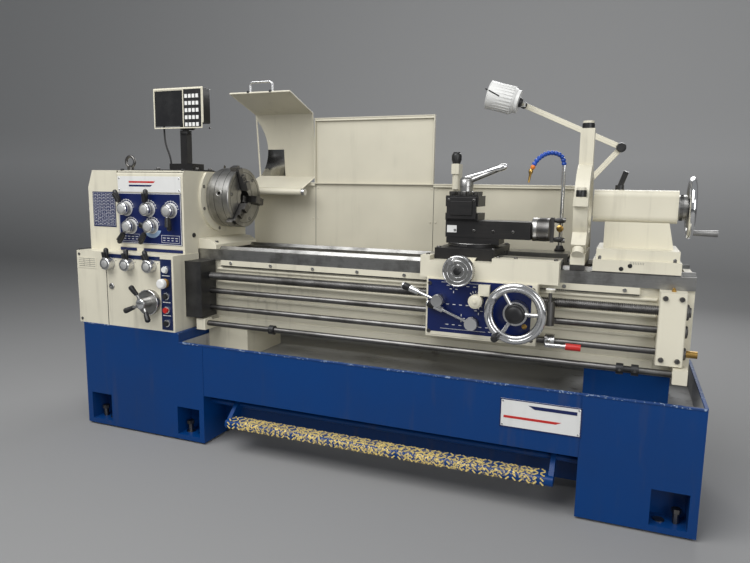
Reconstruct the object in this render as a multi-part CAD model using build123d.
from build123d import *
import math
import os

# Centre lathe on a sheet-steel base. Millimetres.
# Everything is modelled from the base's front left corner: +X along the bed to the tailstock,
# +Y to the back, +Z up from the floor. save() then moves it so that the origin is on the floor
# in the middle of the floor bolts.

# ---- driving dimensions ----
base_length = 2400.0
base_depth = 590.0
pedestal_height = 454.0       # top of the left pedestal, which the bed stands on
left_pedestal_length = 614.0
right_pedestal_length = 352.0
tray_rim_height = 416.0
tray_floor_height = 330.0
recess_height = 208.0         # foot room under the front skirt
plate = 8.0                   # base sheet
foot_clearance = 8.0          # base above the floor, on its jack pads

bed_setback = 170.0           # base front to bed front
bed_width = 310.0
bed_height = 326.0
bed_overhang = 45.0           # bed end to base right end
bed_wall = 28.0
way_height = 42.0             # ground strip along the bed's front
vee_height = 12.0

centre_height = 212.0         # spindle above the bed
chuck_diameter = 250.0
chuck_length = 94.0
bore_diameter = 52.0
headstock_setback = 80.0
headstock_length = 340.0
headstock_depth = 440.0
headstock_rise = 108.0        # spindle to headstock top
casting_wall = 14.0

end_cover_length = 160.0
cover_overhang = 20.0         # end cover past the base's left end
gearbox_height = 309.0
cover_sheet = 4.0

leadscrew_diameter = 32.0
feed_rod_diameter = 22.0
rod_setback = 138.0           # rods' axes behind the base front
leadscrew_z = 675.0
feed_rod_z = 613.0
control_rod_z = 543.0
stop_rod_z = 484.0
stop_rod_y = 100.0

carriage_x = 1475.0           # left end of the saddle, at rest
carriage_length = 472.0
apron_front = 104.0
apron_handwheel_diameter = 184.0
cross_handwheel_diameter = 108.0
toolpost_size = 120.0
toolpost_height = 88.0

steady_x = 1974.0
steady_thickness = 46.0
steady_bore = 190.0
tailstock_x = 2046.0          # left end of the tailstock's foot, at rest
tailstock_length = 265.0
quill_diameter = 60.0
tail_handwheel_diameter = 184.0

splash_height = 1062.0        # low part's rim above the floor
splash_tall = 1348.0
splash_sheet = 4.0

# ---- clearances ----
running = 0.05                # radial, shaft in bore
gap = 0.6                     # faces of pieces on different bodies
slack = 1.5                   # wide ways and pockets

# ---- places worked out from the above ----
bed_front = bed_setback
bed_back = bed_front + bed_width
bed_top = pedestal_height + bed_height
axis_y = bed_front + bed_width / 2
axis_z = bed_top + centre_height
headstock_left = end_cover_length - cover_overhang
headstock_right = headstock_left + headstock_length
headstock_front = headstock_setback
headstock_back = headstock_front + headstock_depth
headstock_top = axis_z + headstock_rise
gearbox_top = pedestal_height + gearbox_height
gearbox_back = bed_front - 4
bed_left = headstock_left
bed_right = base_length - bed_overhang
rod_y = rod_setback
rest_top = bed_top + gap


# ---- shape helpers ----
def block(x0, x1, y0, y1, z0, z1):
    middle = ((x0 + x1) / 2, (y0 + y1) / 2, (z0 + z1) / 2)
    return Pos(*middle) * Box(x1 - x0, y1 - y0, z1 - z0)


def rounded(x0, x1, y0, y1, z0, z1, radius, axis):
    """Block with the four edges along one axis rounded."""
    shape = block(x0, x1, y0, y1, z0, z1)
    return fillet(shape.edges().filter_by(axis), radius)


def softened(x0, x1, y0, y1, z0, z1, radius):
    """Block with every edge rounded, as a casting has."""
    return fillet(block(x0, x1, y0, y1, z0, z1).edges(), radius)


def bar(start, end, radius):
    """Round bar between two points."""
    start, end = Vector(*start), Vector(*end)
    place = Plane(origin=start, z_dir=end - start)
    return place * Cylinder(radius, (end - start).length, align=(Align.CENTER, Align.CENTER, Align.MIN))


def taper(start, end, radius_start, radius_end):
    """Round bar whose radius changes from one end to the other."""
    start, end = Vector(*start), Vector(*end)
    place = Plane(origin=start, z_dir=end - start)
    length = (end - start).length
    return place * Cone(radius_start, radius_end, length, align=(Align.CENTER, Align.CENTER, Align.MIN))


def along_x(x0, x1, y, z, radius):
    return bar((x0, y, z), (x1, y, z), radius)


def along_y(x, z, y0, y1, radius):
    return bar((x, y0, z), (x, y1, z), radius)


def along_z(x, y, z0, z1, radius):
    return bar((x, y, z0), (x, y, z1), radius)


def prism_x(points, x0, x1):
    """Outline of (y, z) points carried from x0 to x1."""
    face = make_face(Polyline(*[(x0, y, z) for y, z in points], close=True))
    return extrude(face, amount=x1 - x0, dir=(1, 0, 0))


def prism_y(points, y0, y1):
    """Outline of (x, z) points carried from y0 to y1."""
    face = make_face(Polyline(*[(x, y0, z) for x, z in points], close=True))
    return extrude(face, amount=y1 - y0, dir=(0, 1, 0))


def prism_z(points, z0, z1):
    """Outline of (x, y) points carried from z0 to z1."""
    face = make_face(Polyline(*[(x, y, z0) for x, y in points], close=True))
    return extrude(face, amount=z1 - z0, dir=(0, 0, 1))


os.makedirs("parts", exist_ok=True)


def save(name, *pieces):
    """Writes a node's solids, moved to the frame's origin."""
    to_origin = Pos(-base_length / 2, -base_depth / 2, 0)
    solids = [to_origin * solid for piece in pieces for solid in piece.solids()]
    whole = solids[0] if len(solids) == 1 else Compound(solids)
    export_step(whole, f"parts/{name}.step")


# ---- base: pedestals, tray, feet ----
pocket_width = 108.0
pocket_height = 137.0
pocket_depth = 90.0
pocket_floor = 20.0
foot_inset = 80.0             # jack bolts from the base's ends
second_foot_inset = 77.0      # from the left pedestal's inner end
foot_setback = 45.0
jack_radius = 10.0
anchor_radius = 9.0
jack_offset = -24.0           # jack bolt and floor bolt either side of the pocket's middle
anchor_offset = 24.0
second_foot_x = left_pedestal_length - second_foot_inset
foot_xs = (foot_inset, second_foot_x, base_length - foot_inset)
foot_ys = (foot_setback, base_depth - foot_setback)
treadle_pivot_y = 60.0
treadle_pivot_z = 172.0
treadle_shaft_radius = 11.0
right_pedestal_x = base_length - right_pedestal_length
shelf_right = headstock_right + 20
tray_underside = tray_floor_height - plate
belt_slot = (30.0, 130.0)     # X of the belts' way through the left pedestal's top


def inward(x, offset):
    """Place offset millimetres towards the middle of the base from a foot."""
    return x + offset if x < base_length / 2 else x - offset


def with_pockets(shell, xs):
    """Adds each jack bolt's pocket, open to the front or back, with its floor flange and two holes."""
    for x in xs:
        for y in foot_ys:
            at_front = y < base_depth / 2
            low, high = (0, pocket_depth) if at_front else (base_depth - pocket_depth, base_depth)
            half = pocket_width / 2
            top = foot_clearance + pocket_height
            wall_low = low if at_front else low - plate
            wall_high = high + plate if at_front else high
            housing = block(x - half - plate, x + half + plate, wall_low, wall_high,
                            foot_clearance, top + plate)
            mouth_low = low - 1 if at_front else low
            mouth_high = high if at_front else high + 1
            mouth = block(x - half, x + half, mouth_low, mouth_high, foot_clearance + pocket_floor, top)
            holes = along_z(inward(x, jack_offset), y, 0, 60, jack_radius)
            holes += along_z(inward(x, anchor_offset), y, 0, 60, anchor_radius)
            shell = shell + housing - mouth - holes
    return shell


low_top = tray_underside
left_outer = block(0, left_pedestal_length, 0, base_depth, foot_clearance, low_top)
left_outer += block(0, shelf_right, 0, base_depth, low_top, pedestal_height)
left_inner = block(plate, left_pedestal_length - plate, plate, base_depth - plate,
                   foot_clearance - 1, low_top - plate)
left_inner += block(plate, shelf_right - plate, plate, base_depth - plate,
                    foot_clearance, pedestal_height - plate)
left_shell = with_pockets(left_outer - left_inner, foot_xs[:2])
left_shell -= block(belt_slot[0], belt_slot[1], 150, 420, pedestal_height - 2 * plate, pedestal_height + 1)
riser_front = bed_front + 20
riser_back = bed_back - 20
riser_length = 200.0
left_riser = block(shelf_right + plate, shelf_right + riser_length, riser_front, riser_back,
                   tray_floor_height, pedestal_height)
left_shell -= along_x(left_pedestal_length - 40, left_pedestal_length + 1, treadle_pivot_y, treadle_pivot_z,
                      treadle_shaft_radius + running)
save("left_pedestal", left_shell, left_riser)

right_outer = block(right_pedestal_x, base_length, 0, base_depth, foot_clearance, low_top)
right_inner = block(right_pedestal_x + plate, base_length - plate, plate, base_depth - plate,
                    foot_clearance - 1, low_top - plate)
right_shell = with_pockets(right_outer - right_inner, foot_xs[2:])
right_riser_x = right_pedestal_x - 8
right_riser = block(right_riser_x, right_riser_x + 265, riser_front, riser_back,
                    tray_floor_height, pedestal_height)
right_shell -= along_x(right_pedestal_x - 1, right_pedestal_x + 40, treadle_pivot_y, treadle_pivot_z,
                       treadle_shaft_radius + running)
save("right_pedestal", right_shell, right_riser)

tray_outer = block(shelf_right, base_length, 0, base_depth, tray_underside, tray_rim_height)
tray_inner = block(shelf_right + plate, base_length - plate, plate, base_depth - plate,
                   tray_floor_height, tray_rim_height + 1)
tray = tray_outer - tray_inner
skirt_back = base_depth - plate
for skirt_y in (0, skirt_back):
    tray += block(left_pedestal_length, right_pedestal_x, skirt_y, skirt_y + plate,
                  recess_height, tray_underside)
kick_y = 150.0
tray += block(left_pedestal_length, right_pedestal_x, kick_y, kick_y + plate, 60, tray_underside)
save("chip_tray", tray)

jack_pad_radius = 26.0
feet = []
for foot_x in foot_xs:
    for foot_y in foot_ys:
        jack_x = inward(foot_x, jack_offset)
        foot = along_z(jack_x, foot_y, 0, foot_clearance, jack_pad_radius)
        foot += along_z(jack_x, foot_y, foot_clearance, 62, jack_radius)
        hexagon = Pos(jack_x, foot_y, 62) * extrude(RegularPolygon(15, 6), 14)
        feet.append(foot + hexagon)
save("levelling_feet", *feet)

# ---- foot brake ----
treadle_left = left_pedestal_length + 120
treadle_right = right_pedestal_x - 70
treadle_y = 5.0
treadle_z = 118.0
treadle_radius = 34.0
ear_thickness = 16.0
treadle = along_x(left_pedestal_length - plate - 4, right_pedestal_x + plate + 4,
                  treadle_pivot_y, treadle_pivot_z, treadle_shaft_radius)
step_bar = rounded(treadle_left, treadle_right, treadle_y - treadle_radius, treadle_y + treadle_radius,
                   treadle_z - 17, treadle_z + 17, 14, Axis.X)
treadle += step_bar
for arm_x in (treadle_left, treadle_right - ear_thickness):
    arm = prism_x([(treadle_y - 20, treadle_z - 17), (treadle_y + 26, treadle_z - 17),
                   (treadle_pivot_y + 20, treadle_pivot_z - 8), (treadle_pivot_y + 14, treadle_pivot_z + 17),
                   (treadle_pivot_y - 14, treadle_pivot_z + 17), (treadle_y - 26, treadle_z + 8)],
                  arm_x, arm_x + ear_thickness)
    treadle += arm
save("brake_treadle", treadle)

# ---- bed ----
wall_front = bed_front + 12
wall_back = bed_back - 12
bed_flange = 60.0
way_width = 66.0
front_vee_y = bed_front + 40
back_vee_y = bed_back - 40
vee_half = 15.0
bed_body = block(bed_left, bed_right, wall_front, wall_front + bed_wall, pedestal_height, bed_top)
bed_body += block(bed_left, bed_right, wall_back - bed_wall, wall_back, pedestal_height, bed_top)
for way_low, way_high in ((bed_front, bed_front + way_width), (bed_back - way_width, bed_back)):
    bed_body += block(bed_left, bed_right, way_low, way_high, bed_top - way_height, bed_top)
for flange_low, flange_high in ((wall_front, wall_front + bed_flange), (wall_back - bed_flange, wall_back)):
    bed_body += block(bed_left, bed_right, flange_low, flange_high, pedestal_height, pedestal_height + 20)


def vee(y, height, half):
    """Outline of a vee ridge on the ways."""
    return [(y - half, bed_top - 1), (y + half, bed_top - 1), (y + 3, bed_top + height), (y - 3, bed_top + height)]


for vee_y in (front_vee_y, back_vee_y):
    bed_body += prism_x(vee(vee_y, vee_height, vee_half), headstock_right + 5, bed_right)
rib_count = 7
rib_pitch = (bed_right - bed_left - 24) / rib_count
for i in range(rib_count + 1):
    rib_x = bed_left + i * rib_pitch
    rib_top = bed_top if i in (0, rib_count) else bed_top - 60
    bed_body += block(rib_x, rib_x + 24, wall_front + 1, wall_back - 1, pedestal_height, rib_top)
rack_left = headstock_right + 110
rack_right = bed_right - 160
rack_y = bed_front - 2
rack = block(rack_left, rack_right, rack_y, wall_front, bed_top - way_height - 22, bed_top - way_height)
save("bed", bed_body, rack)

# ---- headstock ----
head_outer = rounded(headstock_left, headstock_right, headstock_front, headstock_back,
                     bed_top, headstock_top, 18, Axis.X)
head_outer += rounded(headstock_left, headstock_right, headstock_front, headstock_back,
                      bed_top, headstock_top - 60, 2, Axis.X)
head_inner = block(headstock_left + casting_wall, headstock_right - casting_wall,
                   headstock_front + casting_wall, headstock_back - casting_wall,
                   bed_top + casting_wall, headstock_top - casting_wall)
bearing_radius = 88.0
bearing_width = 40.0
spindle_radius = 58.0
nose_ring_radius = 148.0
nose_ring_width = 12.0
bearing_xs = (headstock_left + 4, headstock_right - bearing_width - 4)
head = head_outer - head_inner
boss_radius = bearing_radius + 16
for boss_x0, boss_x1 in ((headstock_left, headstock_left + bearing_width + 8),
                         (headstock_right - bearing_width - 8, headstock_right)):
    head += along_x(boss_x0, boss_x1, axis_y, axis_z, boss_radius)
ring_outline = along_x(headstock_right, headstock_right + nose_ring_width, axis_y, axis_z, nose_ring_radius)
ring_top = headstock_top - 4
head += ring_outline - block(headstock_right - 1, headstock_right + 40, 0, base_depth, ring_top, ring_top + 200)
head -= along_x(headstock_left - 1, headstock_right + 60, axis_y, axis_z, spindle_radius + 6)
for bearing_x in bearing_xs:
    head -= along_x(bearing_x, bearing_x + bearing_width, axis_y, axis_z, bearing_radius)

lever_pin_radius = 8.0
# x and z of each headstock control's axis, and where its grip points
speed_levers = {
    "speed_lever_1": (188.0, 942.0, (-34.0, 62.0)),
    "speed_lever_2": (306.0, 941.0, (4.0, 66.0)),
    "speed_lever_3": (418.0, 939.0, (6.0, -66.0)),
    "speed_lever_4": (210.0, 868.0, (-42.0, -58.0)),
    "speed_lever_5": (320.0, 872.0, (-40.0, -60.0)),
}
for lever_x, lever_z, _ in speed_levers.values():
    head -= along_y(lever_x, lever_z, headstock_front - 20, headstock_front + 30, lever_pin_radius + running)
panel_plate = 2.0
panel_left = headstock_left + 6
panel_right = headstock_right - 10
name_plate = block(panel_left, panel_right, headstock_front - panel_plate, headstock_front,
                   headstock_top - 88, headstock_top - 24)
dial_plate = block(panel_left, panel_right, headstock_front - panel_plate, headstock_front,
                   bed_top + 16, headstock_top - 92)
for lever_x, lever_z, _ in speed_levers.values():
    dial_plate -= along_y(lever_x, lever_z, 0, headstock_front + 1, lever_pin_radius + 1)
eye_x = headstock_left + 22
eye_y = headstock_front + 60
eye_bolt = along_z(eye_x, eye_y, headstock_top, headstock_top + 14, 14)
eye_bolt += Pos(eye_x, eye_y, headstock_top + 38) * Rot(90, 0, 0) * Torus(22, 6)
eye_bolt += along_z(eye_x, eye_y, headstock_top + 10, headstock_top + 20, 7)
guard_pivot_y = axis_y + 178
guard_pivot_z = axis_z + 28
guard_rod_radius = 9.0
guard_left = headstock_right + 10
guard_right = guard_left + 300
guard_rod = along_x(headstock_right, guard_right + 10, guard_pivot_y, guard_pivot_z, guard_rod_radius)
guard_rod += along_x(guard_right + 2, guard_right + 16, guard_pivot_y, guard_pivot_z, guard_rod_radius + 6)
hinge_y = headstock_back + 8
hinge_radius = 7.0
hinge_pin_radius = 4.0
hinge_height = 70.0
hinge_lows = (bed_top + 40, headstock_top - 50 - hinge_height)
for low in hinge_lows:
    middle = low + hinge_height / 2
    head += along_z(headstock_left, hinge_y, middle, low + hinge_height, hinge_radius)
    head += along_z(headstock_left, hinge_y, low, middle + 1, hinge_pin_radius)
    head += block(headstock_left, headstock_left + 22, headstock_back - 1, hinge_y - 2, middle, low + hinge_height)
save("headstock_casting", head, name_plate, dial_plate, eye_bolt, guard_rod)

bearings = []
for bearing_x in bearing_xs:
    race = along_x(bearing_x, bearing_x + bearing_width, axis_y, axis_z, bearing_radius)
    race -= along_x(bearing_x - 1, bearing_x + bearing_width + 1, axis_y, axis_z, spindle_radius + running)
    bearings.append(race)
save("spindle_bearings", *bearings)

# ---- spindle and chuck ----
spindle_left = headstock_left - 46
nose_x = headstock_right + nose_ring_width + 4
nose_radius = 92.0
chuck_left = nose_x + 18
chuck_right = chuck_left + chuck_length
chuck_radius = chuck_diameter / 2
bore_radius = bore_diameter / 2
spindle = along_x(spindle_left, chuck_left - 18, axis_y, axis_z, spindle_radius)
spindle += along_x(nose_x, chuck_left, axis_y, axis_z, nose_radius)
spindle -= along_x(spindle_left - 1, chuck_left + 1, axis_y, axis_z, bore_radius)
save("spindle", spindle)

jaw_angles = (111.0, -9.0, -129.0)     # from +Y towards +Z
jaw_width = 28.0
slot_depth = 30.0
jaw_inner = 40.0                       # at rest, radius of the gripping faces
chuck_bore = 33.0
chuck = along_x(chuck_left, chuck_right, axis_y, axis_z, chuck_radius)
chuck = chamfer(chuck.edges().sort_by(Axis.X)[-1], 3)
chuck -= along_x(chuck_left - 1, chuck_right + 1, axis_y, axis_z, chuck_bore)


def in_chuck(shape, angle):
    """Turns a shape made along +Y from the spindle axis to its jaw's angle."""
    return Pos(0, axis_y, axis_z) * Rot(angle, 0, 0) * shape


socket_radius = 12.0
for angle in jaw_angles:
    slot = block(chuck_right - slot_depth, chuck_right + 1, 0, chuck_radius + 2,
                 -jaw_width / 2 - gap, jaw_width / 2 + gap)
    chuck -= in_chuck(slot, angle)
    pinion = block(chuck_left + 44, chuck_left + 56, chuck_radius - 22, chuck_radius + 2, -6, 6)
    chuck -= in_chuck(pinion, angle + 60)
save("chuck_body", chuck)

jaw_back = chuck_right - slot_depth + gap
step_heights = (34.0, 22.0, 12.0)      # jaw steps above the chuck's face
step_length = 30.0
jaw_length = 100.0
for number, angle in enumerate(jaw_angles, start=1):
    jaw = block(jaw_back, chuck_right, jaw_inner, jaw_inner + jaw_length, -jaw_width / 2, jaw_width / 2)
    for i, rise in enumerate(step_heights):
        start = jaw_inner + i * step_length
        jaw += block(chuck_right - 1, chuck_right + rise, start, start + step_length + 1,
                     -jaw_width / 2, jaw_width / 2)
    save(f"chuck_jaw_{number}", in_chuck(jaw, angle))

# ---- chuck guard: bent sheet hood on a rod behind the chuck ----
guard_sheet = 4.0
guard_outline = [(-103.0, 420.0), (105.0, 353.0), (135.0, 70.0), (0.0, 14.0)]


hood = None
for (y0, z0), (y1, z1) in zip(guard_outline[:-1], guard_outline[1:]):
    run = math.hypot(y1 - y0, z1 - z0)
    along = ((y1 - y0) / run, (z1 - z0) / run)
    across = (-along[1] * guard_sheet / 2, along[0] * guard_sheet / 2)
    a0 = (guard_pivot_y + y0 - along[0] * 1.5, guard_pivot_z + z0 - along[1] * 1.5)
    a1 = (guard_pivot_y + y1 + along[0] * 1.5, guard_pivot_z + z1 + along[1] * 1.5)
    facet = prism_x([(a0[0] + across[0], a0[1] + across[1]), (a1[0] + across[0], a1[1] + across[1]),
                     (a1[0] - across[0], a1[1] - across[1]), (a0[0] - across[0], a0[1] - across[1])],
                    guard_left, guard_right)
    hood = facet if hood is None else hood + facet
hinge_tube = along_x(guard_left, guard_right, guard_pivot_y, guard_pivot_z, guard_rod_radius + 6)
hinge_tube += block(guard_left, guard_right, guard_pivot_y - 3, guard_pivot_y + 3,
                    guard_pivot_z + 8, guard_pivot_z + 18)
hood += hinge_tube
hood -= along_x(guard_left - 1, guard_right + 1, guard_pivot_y, guard_pivot_z, guard_rod_radius + running)
notch_radius = 190.0
notch_reach = 55.0                     # how far the round notch cuts in from the hood's left end
notch_z = guard_pivot_z + 200
hood -= along_y(guard_left - notch_radius + notch_reach, notch_z, guard_pivot_y - 60, guard_pivot_y + 200,
                notch_radius)
handle_y = guard_pivot_y + guard_outline[0][0] + 14
handle_z = guard_pivot_z + guard_outline[0][1]
handle_left = guard_left + 95
handle_right = handle_left + 110
bail = FilletPolyline((handle_left, handle_y, handle_z - 8), (handle_left, handle_y, handle_z + 46),
                      (handle_right, handle_y, handle_z + 46), (handle_right, handle_y, handle_z - 8), radius=14)
hood += sweep(Plane(bail @ 0, z_dir=bail % 0) * Circle(5), path=bail)
save("chuck_guard", hood)

# ---- end cover: deep sheet door over the change gears ----
cover_left = -cover_overhang
cover_right = headstock_left - gap
cover_front_low = 0.0
cover_front_high = headstock_front
cover_outline = [(cover_front_low, pedestal_height + gap), (headstock_back, pedestal_height + gap),
                 (headstock_back, headstock_top), (cover_front_high, headstock_top),
                 (cover_front_high, gearbox_top), (cover_front_low, gearbox_top)]
cover = prism_x(cover_outline, cover_left, cover_right)
inner_outline = [(cover_front_low + cover_sheet, pedestal_height + 2 * cover_sheet),
                 (headstock_back - cover_sheet, pedestal_height + 2 * cover_sheet),
                 (headstock_back - cover_sheet, headstock_top - cover_sheet),
                 (cover_front_high + cover_sheet, headstock_top - cover_sheet),
                 (cover_front_high + cover_sheet, gearbox_top - cover_sheet),
                 (cover_front_low + cover_sheet, gearbox_top - cover_sheet)]
cover -= prism_x(inner_outline, cover_left + cover_sheet, cover_right + 1)
cover_chamfer = 26.0
cover -= prism_y([(cover_left - 1, headstock_top + 1), (cover_left - 1, headstock_top - 72),
                  (cover_left, headstock_top - 72), (cover_left + cover_chamfer, headstock_top),
                  (cover_left + cover_chamfer, headstock_top + 1)], -1, base_depth)
slope = prism_y([(cover_left, headstock_top - 78), (cover_left + cover_sheet, headstock_top - 78),
                 (cover_left + cover_chamfer + cover_sheet, headstock_top - cover_sheet),
                 (cover_left + cover_chamfer, headstock_top), (cover_left, headstock_top - 72)],
                cover_front_high, headstock_back)
cover += slope
cover -= block(belt_slot[0] - 20, cover_right + 1, 140, 430, pedestal_height - 1, pedestal_height + 3 * cover_sheet)
for low in hinge_lows:
    middle = low + hinge_height / 2
    leaf = along_z(headstock_left, hinge_y, low, middle - gap, hinge_radius)
    leaf += block(headstock_left - 22, headstock_left, headstock_back, hinge_y - 2, low, middle - gap)
    leaf -= along_z(headstock_left, hinge_y, low - 1, middle, hinge_pin_radius + running)
    cover += leaf
cover -= along_x(cover_left - 1, cover_left + 20, axis_y, axis_z, bore_radius + 16)
save("end_cover", cover)

# ---- change gears, motor and belts ----
motor_x0 = belt_slot[1] + 40
motor_y = 285.0
motor_z = 190.0
motor_radius = 92.0
motor = along_x(motor_x0, motor_x0 + 250, motor_y, motor_z, motor_radius)
motor += block(motor_x0 + 30, motor_x0 + 220, motor_y - 100, motor_y + 100,
               foot_clearance + 20, motor_z - motor_radius + 12)
motor += along_x(belt_slot[0] + 10, motor_x0, motor_y, motor_z, 16)
input_z = axis_z - 130
input_y = motor_y - 60
small_pulley = 55.0
large_pulley = 70.0
belt_x0 = belt_slot[0] + 20
belt_x1 = belt_x0 + 50
drive_shaft = along_x(belt_x0 - 10, headstock_left, input_y, input_z, 16)
lower_wheel = along_x(belt_x0, belt_x1, motor_y, motor_z, small_pulley) - along_x(0, 200, motor_y, motor_z, 16)
upper_wheel = along_x(belt_x0, belt_x1, input_y, input_z, large_pulley) - along_x(0, 200, input_y, input_z, 16)


def belt_loop(extra):
    """Solid outline round both pulleys, extra millimetres outside them."""
    low = Vector(0, motor_y, motor_z)
    high = Vector(0, input_y, input_z)
    line = high - low
    side = Vector(0, -line.Z, line.Y).normalized()
    low_radius = small_pulley + extra
    high_radius = large_pulley + extra
    corners = [low + side * low_radius, high + side * high_radius, high - side * high_radius,
               low - side * low_radius]
    shape = prism_x([(c.Y, c.Z) for c in corners], belt_x0 + 8, belt_x1 - 8)
    shape += along_x(belt_x0 + 8, belt_x1 - 8, motor_y, motor_z, low_radius)
    shape += along_x(belt_x0 + 8, belt_x1 - 8, input_y, input_z, high_radius)
    return shape


belt = belt_loop(9) - belt_loop(1)
save("main_drive", motor, drive_shaft, lower_wheel, upper_wheel, belt)

# ---- gearbox ----
box_left = headstock_left
box_right = headstock_right + 4
box = rounded(box_left, box_right, 0, gearbox_back, pedestal_height, gearbox_top, 3, Axis.Z)
box -= block(box_left + casting_wall, box_right - casting_wall, casting_wall, gearbox_back - casting_wall,
             pedestal_height + casting_wall, gearbox_top - casting_wall)
ledge = block(box_left, headstock_right, headstock_front + 1, gearbox_back, gearbox_top - 1, bed_top)
feed_lever_z = pedestal_height + 264
feed_levers = {
    "feed_lever_1": (box_left + 22, (0.0, 48.0)),
    "feed_lever_2": (box_left + 124, (2.0, 48.0)),
    "feed_lever_3": (box_left + 238, (-14.0, 48.0)),
}
for lever_x, _ in feed_levers.values():
    box -= along_y(lever_x, feed_lever_z, -10, 30, lever_pin_radius + running)
star_x = box_left + 228
star_z = pedestal_height + 118
box -= along_y(star_x, star_z, -10, 30, lever_pin_radius + running)
rod_holes = [(leadscrew_z, leadscrew_diameter / 2), (feed_rod_z, feed_rod_diameter / 2),
             (control_rod_z, feed_rod_diameter / 2)]
for rod_z, rod_radius in rod_holes:
    box -= along_x(box_right - casting_wall - 5, box_right + 5, rod_y, rod_z, rod_radius + running)
strip_x0 = box_right - 62
strip_x1 = box_right - 8
button_x = (strip_x0 + strip_x1) / 2
strip = block(strip_x0, strip_x1, -panel_plate, 0, pedestal_height + 8, gearbox_top - 14)
stop_z = pedestal_height + 200
stop_collar = along_y(button_x, stop_z, -18, -panel_plate, 17)
stop_hole_radius = 9.0
stop_hole = along_y(button_x, stop_z, -30, 6, stop_hole_radius + running)
stop_collar -= stop_hole
strip -= stop_hole
box -= along_y(button_x, stop_z, -10, 30, stop_hole_radius + running)
switches = []
for switch_rise in (36.0, 90.0, 146.0, 254.0):
    switches.append(along_y(button_x, pedestal_height + switch_rise, -16, -panel_plate, 11))
guard_x1 = box_right + 80
guard_y0 = 70.0
guard_bottom = stop_rod_z + 24
rod_guard = block(box_right, guard_x1, guard_y0, bed_front - 1, guard_bottom, bed_top - 42)
rod_guard -= block(box_right - 1, guard_x1 - cover_sheet, guard_y0 + cover_sheet, bed_front - 5,
                   guard_bottom + cover_sheet, bed_top - 46)
for rod_z, rod_radius in rod_holes:
    rod_guard -= along_x(guard_x1 - 10, guard_x1 + 5, rod_y, rod_z, rod_radius + 1)
save("gearbox_casting", box + ledge, strip, stop_collar, *switches, rod_guard)

button_head_radius = 20.0
stop_travel = 5.0
stop_button = along_y(button_x, stop_z, -18 - stop_travel - 18, -18 - stop_travel, button_head_radius)
stop_button = fillet(stop_button.edges().sort_by(Axis.Y)[0], 8)
stop_button += along_y(button_x, stop_z, -18 - stop_travel - 1, 12, stop_hole_radius)
save("emergency_stop", stop_button)

# ---- control levers on the headstock and gearbox ----
hub_radius = 25.0
hub_length = 34.0
knob_radius = 9.0


def front_lever(x, z, face_y, reach, grip_length):
    """Hub on the front face with a pin through the wall, an arm and a grip. reach is the tip's (x, z)."""
    hub = along_y(x, z, face_y - hub_length, face_y - gap, hub_radius)
    hub = chamfer(hub.edges().sort_by(Axis.Y)[0], 3)
    hub += along_y(x, z, face_y - 5, face_y + casting_wall + 6, lever_pin_radius)
    length = math.hypot(*reach)
    along = (reach[0] / length, reach[1] / length)
    arm_y = face_y - hub_length + 14
    tip = (x + reach[0], arm_y - 14, z + reach[1])
    start = length - grip_length
    grip_start = (x + along[0] * start, arm_y - 8, z + along[1] * start)
    hub += bar((x, arm_y, z), grip_start, 5)
    hub += bar(grip_start, tip, knob_radius)
    return hub


for name, (lever_x, lever_z, reach) in speed_levers.items():
    save(name, front_lever(lever_x, lever_z, headstock_front - panel_plate, reach, 36))
for name, (lever_x, reach) in feed_levers.items():
    save(name, front_lever(lever_x, feed_lever_z, 0, reach, 30))

star_hub_radius = 22.0
dial_radius = 50.0
star = along_y(star_x, star_z, -24, -gap, dial_radius)
star += along_y(star_x, star_z, -62, -20, star_hub_radius)
star += along_y(star_x, star_z, -5, casting_wall + 6, lever_pin_radius)
for turn in (118.0, 205.0, 305.0):
    along = (math.cos(math.radians(turn)), math.sin(math.radians(turn)))
    knee = (star_x + along[0] * 40, -58, star_z + along[1] * 40)
    tip = (star_x + along[0] * 78, -70, star_z + along[1] * 78)
    star += bar((star_x, -50, star_z), knee, 6)
    star += bar(knee, tip, knob_radius)
save("feed_star_handle", star)

# ---- leadscrew, feed rod, control rod and their end bracket ----
bracket_x0 = bed_right - 103
bracket_x1 = bed_right - 25
bracket_y0 = rod_y - 38
bracket = rounded(bracket_x0, bracket_x1, bracket_y0, wall_front, guard_bottom, bed_top - way_height - 1,
                  6, Axis.Z)
for rod_z, rod_radius in rod_holes:
    bracket -= along_x(bracket_x0 - 1, bracket_x1 + 1, rod_y, rod_z, rod_radius + running)
save("rod_end_bracket", bracket)
rod_left = box_right - casting_wall + 1


def bedside_rod(z, radius, right):
    """Rod in the gearbox's right wall and the end bracket."""
    return along_x(rod_left, right, rod_y, z, radius)


leadscrew = bedside_rod(leadscrew_z, leadscrew_diameter / 2, bracket_x1 + 14)
save("leadscrew", leadscrew)
save("feed_rod", bedside_rod(feed_rod_z, feed_rod_diameter / 2, bracket_x1 + 10))
save("control_rod", bedside_rod(control_rod_z, feed_rod_diameter / 2, bracket_x1 + 42))

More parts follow.
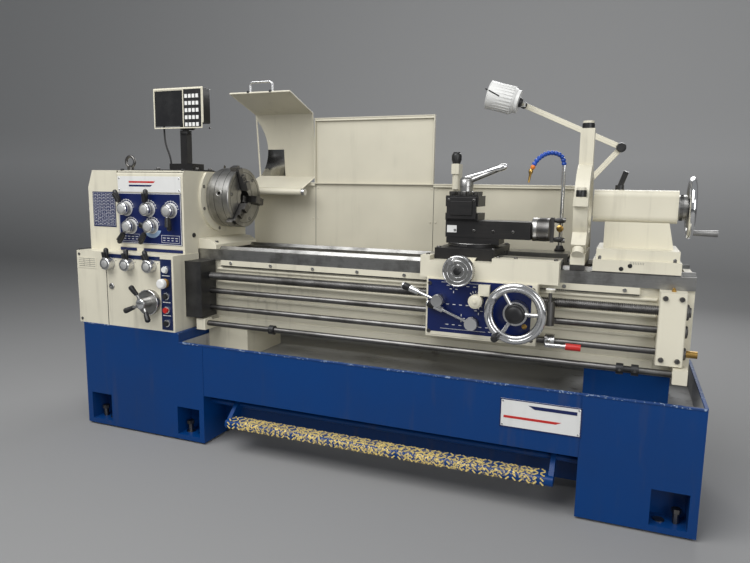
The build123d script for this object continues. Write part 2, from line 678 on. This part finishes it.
# ---- stop rod ----
stop_rod_radius = 11.0
stop_rod_x0 = headstock_right + 60
stop_rod_x1 = bed_right - 12
stop_rod = along_x(stop_rod_x0, stop_rod_x1, stop_rod_y, stop_rod_z, stop_rod_radius)
for collar_x in (headstock_right + 384, bed_right - 215, bed_right - 170):
    stop_rod += along_x(collar_x, collar_x + 22, stop_rod_y, stop_rod_z, stop_rod_radius + 7)
stop_brackets = []
for foot_x in (stop_rod_x0 - 10, stop_rod_x1 - 40):
    foot = block(foot_x, foot_x + 42, stop_rod_y - 22, bed_front + 12, stop_rod_z - 26, stop_rod_z + 20)
    foot -= along_x(foot_x - 1, foot_x + 43, stop_rod_y, stop_rod_z, stop_rod_radius)
    foot -= block(foot_x - 1, foot_x + 43, stop_rod_y + 24, bed_front + 20, stop_rod_z + 8, stop_rod_z + 30)
    stop_brackets.append(foot)
save("stop_rod", stop_rod, *stop_brackets)

# ---- carriage: saddle and apron ----
saddle_x1 = carriage_x + carriage_length
saddle_front = apron_front + 4
saddle_back = bed_back + 44
bridge_x0 = carriage_x + 40
bridge_x1 = carriage_x + 246
bar_top = bed_top + 32
bridge_top = bed_top + 16
front_bar_back = bed_front + 74
back_bar_front = bed_back - 74
saddle = block(carriage_x, saddle_x1, saddle_front, front_bar_back, rest_top, bar_top)
saddle += block(carriage_x, saddle_x1, back_bar_front, saddle_back, rest_top, bar_top)
saddle -= block(bridge_x0 - 6, bridge_x1 + 6, 0, base_depth, bridge_top, bar_top + 50)
saddle += block(bridge_x0 - 6, bridge_x1 + 6, saddle_front, saddle_back, rest_top, bridge_top)
saddle += block(carriage_x, saddle_x1, saddle_front, bed_front - 4, bed_top - 44, bar_top - 16)
saddle += block(carriage_x, saddle_x1, bed_back + 4, saddle_back, bed_top - 44, bar_top - 16)
saddle -= block(carriage_x - 1, saddle_x1 + 1, bed_front - 4, bed_back + 4, bed_top - 60, rest_top)
for vee_y in (front_vee_y, back_vee_y):
    saddle -= prism_x(vee(vee_y, vee_height + slack, vee_half + slack), carriage_x - 1, saddle_x1 + 1)
slide_centre = (bridge_x0 + bridge_x1) / 2
tongue_low = 40.0
tongue_high = 46.0
tongue_height = 11.0


def tongue_outline(centre, base_z, spare):
    """Dovetail across a slide: narrow at its foot, wide at its top."""
    return [(centre - tongue_low - spare, base_z - 1), (centre + tongue_low + spare, base_z - 1),
            (centre + tongue_high + spare, base_z + tongue_height + spare),
            (centre - tongue_high - spare, base_z + tongue_height + spare)]


saddle += prism_y(tongue_outline(slide_centre, bridge_top, 0), saddle_front + 40, saddle_back - 10)
cross_wheel_x = slide_centre + 4
cross_wheel_z = bed_top - 12
wheel_shaft_radius = 9.0
boss_front = saddle_front - 24
saddle += along_y(cross_wheel_x, cross_wheel_z, boss_front, saddle_front + 10, 30)
saddle -= along_y(cross_wheel_x, cross_wheel_z, boss_front - 1, saddle_front + 44, wheel_shaft_radius + running)
save("saddle", saddle)

apron_left = carriage_x + 25
apron_right = carriage_x + 410
apron_back = bed_front - 5
apron_bottom = control_rod_z - 16
apron_top = bed_top - 44
apron = rounded(apron_left, apron_right, apron_front, apron_back, apron_bottom, apron_top, 5, Axis.Z)
rack_channel = block(apron_left - 1, apron_right + 1, bed_front - 14, apron_back + 1,
                     apron_top - 34, apron_top + 1)
apron -= rack_channel
for rod_z, rod_radius in rod_holes:
    apron -= along_x(apron_left - 1, apron_right + 1, rod_y, rod_z, rod_radius + slack)
handwheel_x = apron_left + 320
handwheel_z = apron_bottom + 112
half_nut_x = apron_left + 58
half_nut_z = leadscrew_z - 10
feed_x = apron_left + 170
feed_z = apron_bottom + 60
shaft_back = rod_y - 20
for hole_x, hole_z in ((handwheel_x, handwheel_z), (half_nut_x, half_nut_z), (feed_x, feed_z)):
    apron -= along_y(hole_x, hole_z, apron_front - 1, shaft_back, wheel_shaft_radius + running)
apron_plate = block(apron_left + 4, apron_right - 4, apron_front - panel_plate, apron_front,
                    apron_bottom + 6, apron_top - 4)
for hole_x, hole_z in ((handwheel_x, handwheel_z), (half_nut_x, half_nut_z), (feed_x, feed_z)):
    apron_plate -= along_y(hole_x, hole_z, 0, apron_front + 1, wheel_shaft_radius + 1)
selector = along_y(apron_left + 182, apron_top - 70, apron_front - 30, apron_front - panel_plate, 24)
neck = prism_y([(apron_left + 190, apron_top - 50), (apron_left + 228, apron_top - 50),
                (apron_left + 228, apron_top - 12), (apron_left + 190, apron_top - 12)],
               apron_front - 20, apron_front - panel_plate)
dial_x = apron_right + 40
dial_y = rod_y - leadscrew_diameter / 2 - 19
thread_dial = along_z(dial_x, dial_y, apron_bottom + 76, leadscrew_z + 8, 17)
thread_dial += along_z(dial_x, dial_y, leadscrew_z + 7, leadscrew_z + 40, 6)
thread_dial += along_z(dial_x, dial_y, leadscrew_z + 38, leadscrew_z + 48, 16)
thread_dial += block(apron_right, dial_x - 10, apron_front + 2, apron_front + 12,
                     apron_bottom + 90, leadscrew_z - 20)
save("apron", apron, apron_plate, selector, neck, thread_dial)

# ---- handwheels ----
def spoked_wheel(axis_point, direction, radius, rim_radius, hub_size, spokes, handle):
    """Rim, round hub and spokes about an axis, with a turned handle near the rim. hub_size is (radius, length)."""
    centre = Vector(*axis_point)
    place = Plane(origin=centre, z_dir=direction)
    wheel = place * Torus(radius - rim_radius, rim_radius)
    wheel += place * Cylinder(hub_size[0], hub_size[1])
    for i in range(spokes):
        turn = math.radians(360 * i / spokes + 90)
        tip = place.from_local_coords((math.cos(turn) * (radius - rim_radius),
                                       math.sin(turn) * (radius - rim_radius), 0))
        wheel += bar(tuple(centre), tuple(tip), 7)
    turn, length, thickness = handle
    foot = place.from_local_coords((math.cos(turn) * (radius - rim_radius),
                                    math.sin(turn) * (radius - rim_radius), 0))
    tip = foot + Vector(*direction).normalized() * length
    wheel += taper(tuple(foot), tuple(tip), thickness * 0.7, thickness)
    return wheel


wheel_y = apron_front - 44
apron_wheel = spoked_wheel((handwheel_x, wheel_y, handwheel_z), (0, -1, 0), apron_handwheel_diameter / 2,
                           10, (30, 34), 3, (math.radians(-125), 62, 11))
apron_wheel += along_y(handwheel_x, handwheel_z, wheel_y, apron_front - panel_plate - gap, 40)
apron_wheel += along_y(handwheel_x, handwheel_z, wheel_y, shaft_back - 2, wheel_shaft_radius)
save("apron_handwheel", apron_wheel)

cross_radius = cross_handwheel_diameter / 2
cross_wheel_back = boss_front - gap
cross_wheel = along_y(cross_wheel_x, cross_wheel_z, cross_wheel_back - 26, cross_wheel_back, cross_radius)
cross_wheel = fillet(cross_wheel.edges(), 5)
cross_wheel += along_y(cross_wheel_x, cross_wheel_z, cross_wheel_back - 5, saddle_front + 40, wheel_shaft_radius)
cross_wheel += taper((cross_wheel_x - 16, cross_wheel_back - 20, cross_wheel_z + 34),
                     (cross_wheel_x - 16, cross_wheel_back - 66, cross_wheel_z + 34), 6, 9)
save("cross_handwheel", cross_wheel)


def apron_lever(x, z, arm_y, reach, radius):
    """Hub on the apron with a long arm and a black grip. reach is the tip's (x, z) from the hub."""
    lever = along_y(x, z, arm_y - 12, apron_front - panel_plate - gap, radius)
    lever += along_y(x, z, arm_y, shaft_back - 2, wheel_shaft_radius)
    length = math.hypot(*reach)
    along = (reach[0] / length, reach[1] / length)
    grip = (x + along[0] * (length - 62), arm_y, z + along[1] * (length - 62))
    lever += bar((x, arm_y, z), grip, 5)
    lever += bar(grip, (x + reach[0], arm_y, z + reach[1]), 11)
    return lever


save("half_nut_lever", apron_lever(half_nut_x, half_nut_z, apron_front - 58, (-126.0, 46.0), 20))
save("power_feed_lever", apron_lever(feed_x, feed_z, apron_front - 22, (-158.0, 62.0), 22))

control_x = apron_right + 28
control = along_x(control_x, control_x + 30, rod_y, control_rod_z, 24)
control -= along_x(control_x - 1, control_x + 31, rod_y, control_rod_z, feed_rod_diameter / 2 + running)
arm_y = rod_y - 62
control += block(control_x + 8, control_x + 22, arm_y, rod_y - 20, control_rod_z - 8, control_rod_z + 8)
control += along_x(control_x + 8, control_x + 70, arm_y, control_rod_z, 7)
control += along_x(control_x + 70, control_x + 118, arm_y, control_rod_z, 11)
save("control_lever", control)

# ---- cross slide, compound, toolpost ----
slide_front = bed_front - 10
slide_length = 300.0
slide_height = 39.0
slide_low = bridge_top + gap
slide_top = slide_low + slide_height
cross_slide = block(bridge_x0 - 4, bridge_x1 + 4, slide_front, slide_front + slide_length, slide_low, slide_top)
cross_slide -= prism_y(tongue_outline(slide_centre, bridge_top, gap), slide_front - 1,
                       slide_front + slide_length + 1)
save("cross_slide", cross_slide)

swivel_y = axis_y - 25
swivel_radius = 92.0
swivel_low = slide_top + gap
swivel_top = swivel_low + 32
compound_half = 52.0
compound_x0 = slide_centre - 94
compound_length = 306.0
compound_base = along_z(slide_centre, swivel_y, swivel_low, swivel_low + 12, swivel_radius)
compound_base += block(compound_x0 + 4, slide_centre + 104, swivel_y - compound_half, swivel_y + compound_half,
                       swivel_low + 11, swivel_top)
compound_base += prism_x(tongue_outline(swivel_y, swivel_top, 0), compound_x0 + 4, slide_centre + 104)
save("compound_base", compound_base)

compound_low = swivel_top + gap
compound_top = compound_low + 62
compound = block(compound_x0, compound_x0 + compound_length, swivel_y - compound_half,
                 swivel_y + compound_half, compound_low, compound_top)
compound -= prism_x(tongue_outline(swivel_y, swivel_top, gap), compound_x0 - 1,
                    compound_x0 + compound_length - 40)
screw_z = compound_low + 36
compound -= along_x(compound_x0 + compound_length - 40, compound_x0 + compound_length + 1, swivel_y, screw_z,
                    wheel_shaft_radius + running)
post_x = compound_x0 + 60
stud_radius = 14.0
stud_top = compound_top + toolpost_height + 14
stud = along_z(post_x, swivel_y, compound_top, stud_top, stud_radius)
save("compound_slide", compound, stud)

crank_x = compound_x0 + compound_length + gap
crank = along_x(crank_x, crank_x + 62, swivel_y, screw_z, 41)
crank = chamfer(crank.edges(), 3)
crank += along_x(crank_x - 36, crank_x + 1, swivel_y, screw_z, wheel_shaft_radius)
crank += block(crank_x + 62, crank_x + 74, swivel_y - 9, swivel_y + 9, screw_z - 44, screw_z + 44)
for handle_z, outward in ((screw_z + 36, 1), (screw_z - 36, -1)):
    crank += taper((crank_x + 72, swivel_y, handle_z), (crank_x + 112, swivel_y, handle_z), 5, 8)
save("compound_crank", crank)

post_half = toolpost_size / 2
slot_low = 26.0
slot_high = 50.0
slot_reach = 26.0
toolpost = block(post_x - post_half, post_x + post_half, swivel_y - post_half, swivel_y + post_half,
                 compound_top + gap, compound_top + toolpost_height)
for side_x, side_y in ((1, 0), (-1, 0), (0, 1), (0, -1)):
    cut_x = post_x + side_x * post_half
    cut_y = swivel_y + side_y * post_half
    half_x = slot_reach if side_x else post_half + 1
    half_y = slot_reach if side_y else post_half + 1
    toolpost -= block(cut_x - half_x, cut_x + half_x, cut_y - half_y, cut_y + half_y,
                      compound_top + slot_low, compound_top + slot_high)
toolpost -= along_z(post_x, swivel_y, compound_top, stud_top + 5, stud_radius + running)
for corner_x in (-44, -15, 15, 44):
    for corner_y in (-44, 44):
        toolpost += along_z(post_x + corner_x, swivel_y + corner_y, compound_top + slot_high,
                            compound_top + toolpost_height + 12, 6)
save("toolpost", toolpost)

post_top = compound_top + toolpost_height + gap
nut = along_z(post_x, swivel_y, post_top, post_top + 66, 25)
nut = chamfer(nut.edges().sort_by(Axis.Z)[-1], 6)
nut -= along_z(post_x, swivel_y, post_top - 1, stud_top + 2, stud_radius + running)
lever_start = (post_x + 10, swivel_y, post_top + 52)
lever_tip = (post_x + 140, swivel_y, post_top + 106)
nut += bar(lever_start, lever_tip, 9)
save("toolpost_lever", nut)

# ---- follow rest and coolant hose on the saddle ----
rest_x = carriage_x + 18
rest_y = axis_y + 172
follow = block(rest_x - 16, rest_x + 16, rest_y - 24, rest_y + 44, bar_top, bar_top + 26)
follow += block(rest_x - 15, rest_x + 15, rest_y + 4, rest_y + 40, bar_top + 20, axis_z + 150)
follow += block(rest_x - 15, rest_x + 15, rest_y - 22, rest_y + 40, axis_z + 110, axis_z + 150)
follow += along_z(rest_x, rest_y - 2, axis_z + 50, axis_z + 172, 15)
follow += along_z(rest_x, rest_y - 2, axis_z + 171, axis_z + 196, 14)
save("follow_rest", follow)

hose_x = saddle_x1 - 40
hose_y = saddle_back - 14
hose_top = axis_z + 150
hose = block(hose_x - 18, hose_x + 18, hose_y - 16, hose_y + 12, bar_top, bar_top + 20)
hose += along_z(hose_x, hose_y, bar_top + 18, hose_top, 8)
hose_route = [(hose_x, hose_y, hose_top - 4), (hose_x - 8, hose_y - 10, hose_top + 34),
              (hose_x - 56, hose_y - 34, hose_top + 44), (hose_x - 96, hose_y - 60, hose_top + 14),
              (hose_x - 112, hose_y - 76, hose_top - 30), (hose_x - 118, hose_y - 84, hose_top - 74)]
for start, end in zip(hose_route[:-2], hose_route[1:-1]):
    hose += bar(start, end, 9)
    hose += Pos(*end) * Sphere(9)
hose += taper(hose_route[-2], hose_route[-1], 9, 4)
save("coolant_hose", hose)

# ---- fixed steady ----
steady_right = steady_x + steady_thickness
ring_outer = steady_bore / 2 + 48
ring_inner = steady_bore / 2
finger_radius = 12.0
finger_tip = 44.0
steady_pivot_y = axis_y + ring_outer + 14
steady_pin_radius = 7.0
half_gap = 0.5


def finger_barrel(angle, outer, width):
    """Square-sided barrel along a ray from the spindle axis, with its finger inside and its knob outside."""
    barrel = block(steady_x, steady_right, ring_outer - 14, outer, -width / 2, width / 2)
    finger = along_y(steady_x + steady_thickness / 2, 0, finger_tip, outer + 4, finger_radius)
    knob = along_y(steady_x + steady_thickness / 2, 0, outer + 2, outer + 26, 19)
    return in_chuck(barrel + finger + knob, angle)


ring = along_x(steady_x, steady_right, axis_y, axis_z, ring_outer)
ring -= along_x(steady_x - 1, steady_right + 1, axis_y, axis_z, ring_inner)
lower = ring - block(steady_x - 1, steady_right + 1, 0, base_depth + 200, axis_z - half_gap, axis_z + 400)
foot_block = block(steady_x, steady_right, bed_front + 6, bed_back - 6, rest_top, bed_top + 56)
foot_block -= along_x(steady_x - 1, steady_right + 1, axis_y, axis_z, ring_inner + 20)
for vee_y in (front_vee_y, back_vee_y):
    foot_block -= prism_x(vee(vee_y, vee_height + slack, vee_half + slack), steady_x - 1, steady_right + 1)
lower += foot_block
web = block(steady_x + 4, steady_right - 4, axis_y - 110, axis_y + 110, bed_top + 30, axis_z - ring_inner - 10)
lower += web - along_x(steady_x - 1, steady_right + 1, axis_y, axis_z, ring_inner + 20)
for angle in (-135.0, -45.0):
    lower += finger_barrel(angle, 198.0, 42.0)
bore_cut = along_x(steady_x - 1, steady_right + 1, axis_y, axis_z, ring_inner)
pin_ear = along_x(steady_x, steady_x + 14, steady_pivot_y, axis_z, 15)
pin_ear += block(steady_x, steady_x + 14, axis_y + ring_outer - 12, steady_pivot_y, axis_z - 14, axis_z - half_gap)
pin_ear -= block(steady_x + 14, steady_right, 0, base_depth + 200, 0, 2000)
far_ear = Pos(steady_thickness - 14, 0, 0) * pin_ear
pin = along_x(steady_x, steady_right, steady_pivot_y, axis_z, steady_pin_radius)
lower = lower - block(steady_x - 1, steady_right + 1, axis_y + ring_outer - 20, steady_pivot_y + 30,
                      axis_z - 18, axis_z + 1)
strut = block(steady_x, steady_x + 14, axis_y + ring_outer - 26, steady_pivot_y + 14, axis_z - 40, axis_z - 10)
strut += block(steady_right - 14, steady_right, axis_y + ring_outer - 26, steady_pivot_y + 14,
               axis_z - 40, axis_z - 10)
lower += strut + pin_ear + far_ear + pin
save("steady_base", lower)

upper = ring - block(steady_x - 1, steady_right + 1, 0, base_depth + 200, axis_z - 400, axis_z + half_gap)
upper += finger_barrel(90.0, 262.0, 50.0)
upper -= block(steady_x - 1, steady_right + 1, axis_y + ring_outer - 20, steady_pivot_y + 30,
               axis_z - 1, axis_z + 18)
knuckle = along_x(steady_x + 14 + gap, steady_right - 14 - gap, steady_pivot_y, axis_z, 15)
knuckle += block(steady_x + 14 + gap, steady_right - 14 - gap, axis_y + ring_outer - 30, steady_pivot_y,
                 axis_z + half_gap, axis_z + 34)
knuckle -= along_x(steady_x, steady_right, steady_pivot_y, axis_z, steady_pin_radius + running)
upper += knuckle
clamp_y = axis_y - ring_outer - 6
upper += block(steady_x, steady_right, clamp_y - 14, clamp_y + 26, axis_z + half_gap, axis_z + 30)
upper += along_z(steady_x + steady_thickness / 2, clamp_y, axis_z + 29, axis_z + 62, 15)
save("steady_top", upper)

# ---- tailstock ----
tail_right = tailstock_x + tailstock_length
foot_front = bed_front + 4
foot_back = bed_back - 4
tail_foot_top = bed_top + 76
quill_radius = quill_diameter / 2
barrel_half = 52.0
barrel_x0 = tailstock_x - 14
barrel_x1 = tail_right - 18
tail = block(tailstock_x, tail_right, foot_front, foot_back, rest_top, tail_foot_top - 34)
tail += block(tailstock_x + 8, tail_right - 6, foot_front + 18, foot_back - 18, tail_foot_top - 35, tail_foot_top)
column = prism_y([(tailstock_x + 26, tail_foot_top - 1), (tail_right - 22, tail_foot_top - 1),
                  (tail_right - 40, axis_z - barrel_half + 2), (tailstock_x + 26, axis_z - barrel_half + 2)],
                 axis_y - 52, axis_y + 52)
tail += column
tail += rounded(barrel_x0, barrel_x1, axis_y - barrel_half - 6, axis_y + barrel_half + 6,
                axis_z - barrel_half, axis_z + barrel_half + 4, 22, Axis.X)
tail -= along_x(barrel_x0 - 1, barrel_x1 - 30, axis_y, axis_z, quill_radius + running)
tail -= along_x(barrel_x1 - 31, barrel_x1 + 1, axis_y, axis_z, 12 + running)
for vee_y in (front_vee_y, back_vee_y):
    tail -= prism_x(vee(vee_y, vee_height + slack, vee_half + slack), tailstock_x - 1, tail_right + 1)
lock_x = barrel_x0 + 78
barrel_top = axis_z + barrel_half + 4
lock_pin_radius = 6.0
tail -= along_z(lock_x, axis_y, barrel_top - 16, barrel_top + 1, lock_pin_radius + running)
save("tailstock_body", tail)

quill_length = 205.0
taper_mouth = 15.6
quill = along_x(barrel_x0 + 2, barrel_x0 + 2 + quill_length, axis_y, axis_z, quill_radius)
quill -= taper((barrel_x0 + 1.9, axis_y, axis_z), (barrel_x0 + 112, axis_y, axis_z), taper_mouth, taper_mouth - 2.8)
quill -= along_x(barrel_x0 + 100, barrel_x0 + quill_length + 3, axis_y, axis_z, 12.5)
save("tailstock_quill", quill)

tail_wheel_x = barrel_x1 + 40
tail_wheel = spoked_wheel((tail_wheel_x, axis_y, axis_z), (1, 0, 0), tail_handwheel_diameter / 2, 10, (26, 30),
                          3, (math.radians(180), 86, 11))
tail_wheel += along_x(barrel_x1 + gap, barrel_x1 + 28, axis_y, axis_z, 42)
tail_wheel += along_x(barrel_x1 - 28, tail_wheel_x, axis_y, axis_z, 12)
save("tailstock_handwheel", tail_wheel)

quill_lock = along_z(lock_x, axis_y, barrel_top + gap, barrel_top + 16, 14)
quill_lock += along_z(lock_x, axis_y, barrel_top - 14, barrel_top + 2, lock_pin_radius)
quill_lock += bar((lock_x, axis_y, barrel_top + 9), (lock_x + 18, axis_y - 10, barrel_top + 62), 9)
save("quill_lock_lever", quill_lock)

# ---- splash guard behind the bed ----
splash_y = base_depth + 4
splash_left = headstock_right + 4
tall_left = guard_right + 22
tall_right = tall_left + 560
splash_right = tall_right + 640
hem = 12.0
splash = block(splash_left, splash_right, splash_y, splash_y + splash_sheet, tray_rim_height - 40, splash_height)
splash += block(tall_left, tall_right, splash_y, splash_y + splash_sheet, splash_height - 1, splash_tall)
for hem_x0, hem_x1, hem_z in ((splash_left, splash_right, splash_height), (tall_left, tall_right, splash_tall)):
    splash += block(hem_x0, hem_x1, splash_y - hem, splash_y + splash_sheet, hem_z - splash_sheet, hem_z)
for hem_x in (tall_left, tall_right - splash_sheet):
    splash += block(hem_x, hem_x + splash_sheet, splash_y - hem, splash_y + splash_sheet,
                    splash_height - 1, splash_tall)
splash += block(splash_left, splash_right, base_depth, splash_y + 1, tray_rim_height - 40, tray_rim_height - 4)
lamp_x = splash_right - 16
lamp_y = splash_y + 22
lamp_z = splash_height + 22
lamp_pin_radius = 5.0
splash += block(lamp_x - 16, lamp_x + 16, splash_y + splash_sheet - 1, lamp_y + 16,
                splash_height - 60, splash_height - 8)
splash += block(lamp_x - 14, lamp_x + 14, lamp_y - 11, lamp_y - 3 - gap, splash_height - 9, lamp_z + 14)
splash += along_y(lamp_x, lamp_z, lamp_y - 8, lamp_y + 14, lamp_pin_radius)
save("splash_guard", splash)

# ---- work lamp ----
elbow = (lamp_x + 106, lamp_z + 124)
shade = (elbow[0] - 372, elbow[1] + 168)
lower_arm = bar((lamp_x, lamp_y + 3, lamp_z), (elbow[0], lamp_y + 3, elbow[1]), 6)
lower_arm += along_y(lamp_x, lamp_z, lamp_y - 3, lamp_y + 9, 14)
lower_arm += along_y(elbow[0], elbow[1], lamp_y - 3, lamp_y + 9, 14)
lower_arm -= along_y(lamp_x, lamp_z, lamp_y - 30, lamp_y + 30, lamp_pin_radius + running)
lower_arm += along_y(elbow[0], elbow[1], lamp_y - 22, lamp_y, lamp_pin_radius)
save("lamp_lower_arm", lower_arm)

upper_y0 = lamp_y - 16
upper_y1 = lamp_y - 3 - gap
upper_mid = (upper_y0 + upper_y1) / 2
upper_arm = bar((elbow[0], upper_mid, elbow[1]), (shade[0], upper_mid, shade[1]), 6)
upper_arm += along_y(elbow[0], elbow[1], upper_y0, upper_y1, 15)
upper_arm -= along_y(elbow[0], elbow[1], upper_y0 - 10, lamp_y + 10, lamp_pin_radius + running)
upper_arm += along_y(shade[0], shade[1], upper_y0, upper_y1, 12)
upper_arm += along_y(shade[0], shade[1], upper_y0 - 24, upper_y0 + 1, lamp_pin_radius)
save("lamp_upper_arm", upper_arm)

lug_y1 = upper_y0 - gap
lamp_head_radius = 44.0
shade_start = Vector(shade[0] - 12, lug_y1 - 40, shade[1] + 6)
shade_end = shade_start + Vector(-112, -6, 30)
lamp_head = bar(tuple(shade_start), tuple(shade_end), lamp_head_radius)
lamp_head -= bar(tuple(shade_start + Vector(-40, -2, 10)), tuple(shade_end + Vector(-11, -1, 3)), lamp_head_radius - 4)
lug = block(shade[0] - 26, shade[0] + 9, lug_y1 - 12, lug_y1, shade[1] - 9, shade[1] + 9)
lamp_head += lug
lamp_head -= along_y(shade[0], shade[1], upper_y0 - 30, lug_y1 + 1, lamp_pin_radius + running)
save("lamp_head", lamp_head)

# ---- digital readout ----
readout_x = headstock_left + 200
readout_y = axis_y - 40
base_z = headstock_top
readout_post = block(readout_x - 130, readout_x + 100, readout_y - 60, readout_y + 60, base_z, base_z + 8)
readout_post += block(readout_x - 60, readout_x + 60, readout_y - 40, readout_y + 40, base_z + 7, base_z + 34)
post_half_width = 17.0
post_top_z = base_z + 176
readout_post += block(readout_x - post_half_width, readout_x + post_half_width, readout_y - post_half_width,
                      readout_y + post_half_width, base_z + 33, post_top_z)
tilt_z = post_top_z + 12
tilt_pin = 5.0
readout_post += block(readout_x - 8, readout_x + 8, readout_y - 10, readout_y + 10, post_top_z - 1, tilt_z + 8)
readout_post += along_x(readout_x - 22, readout_x + 22, readout_y, tilt_z, tilt_pin)
save("dro_post", readout_post)

display_width = 262.0
display_height = 150.0
display_depth = 52.0
display_low = tilt_z + 16
display_x0 = readout_x - 150
display = softened(display_x0, display_x0 + display_width, readout_y - display_depth / 2,
                   readout_y + display_depth / 2, display_low, display_low + display_height, 5)
for ear_x in (readout_x - 22, readout_x + 8 + gap):
    ear = block(ear_x, ear_x + 14 - gap, readout_y - 9, readout_y + 9, tilt_z - 9, display_low + 2)
    display += ear - along_x(ear_x - 1, ear_x + 15, readout_y, tilt_z, tilt_pin + running)
save("dro_display", display)

cable_radius = 4.0
cable_x = display_x0 + 34
cable_top = display_low - gap / 2
cable_foot_x = readout_x - 82
cable_route = [(cable_x, readout_y, cable_top), (cable_x, readout_y, cable_top - 46),
               (cable_x + 10, readout_y - 4, cable_top - 92), (cable_foot_x, readout_y, base_z + 54),
               (cable_foot_x, readout_y, base_z + 8)]


def cord_radii(route):
    """For each corner of a cord's route: 0.45 of the shorter run over the tangent of half the turn."""
    radii = []
    for before, here, after in zip(route[:-2], route[1:-1], route[2:]):
        run_in = Vector(*here) - Vector(*before)
        run_out = Vector(*after) - Vector(*here)
        half_turn = math.radians(run_in.get_angle(run_out)) / 2
        radii.append(0.45 * min(run_in.length, run_out.length) / math.tan(half_turn))
    return radii


print("readout cable bend radii", [round(r) for r in cord_radii(cable_route)])
path = FilletPolyline(*cable_route, radius=cord_radii(cable_route))
cable = sweep(Plane(path @ 0, z_dir=path % 0) * Circle(cable_radius), path=path)
print("readout cable length", round(path.length), "volume over section", round(cable.volume / (math.pi * cable_radius ** 2)))
save("dro_cable", cable)
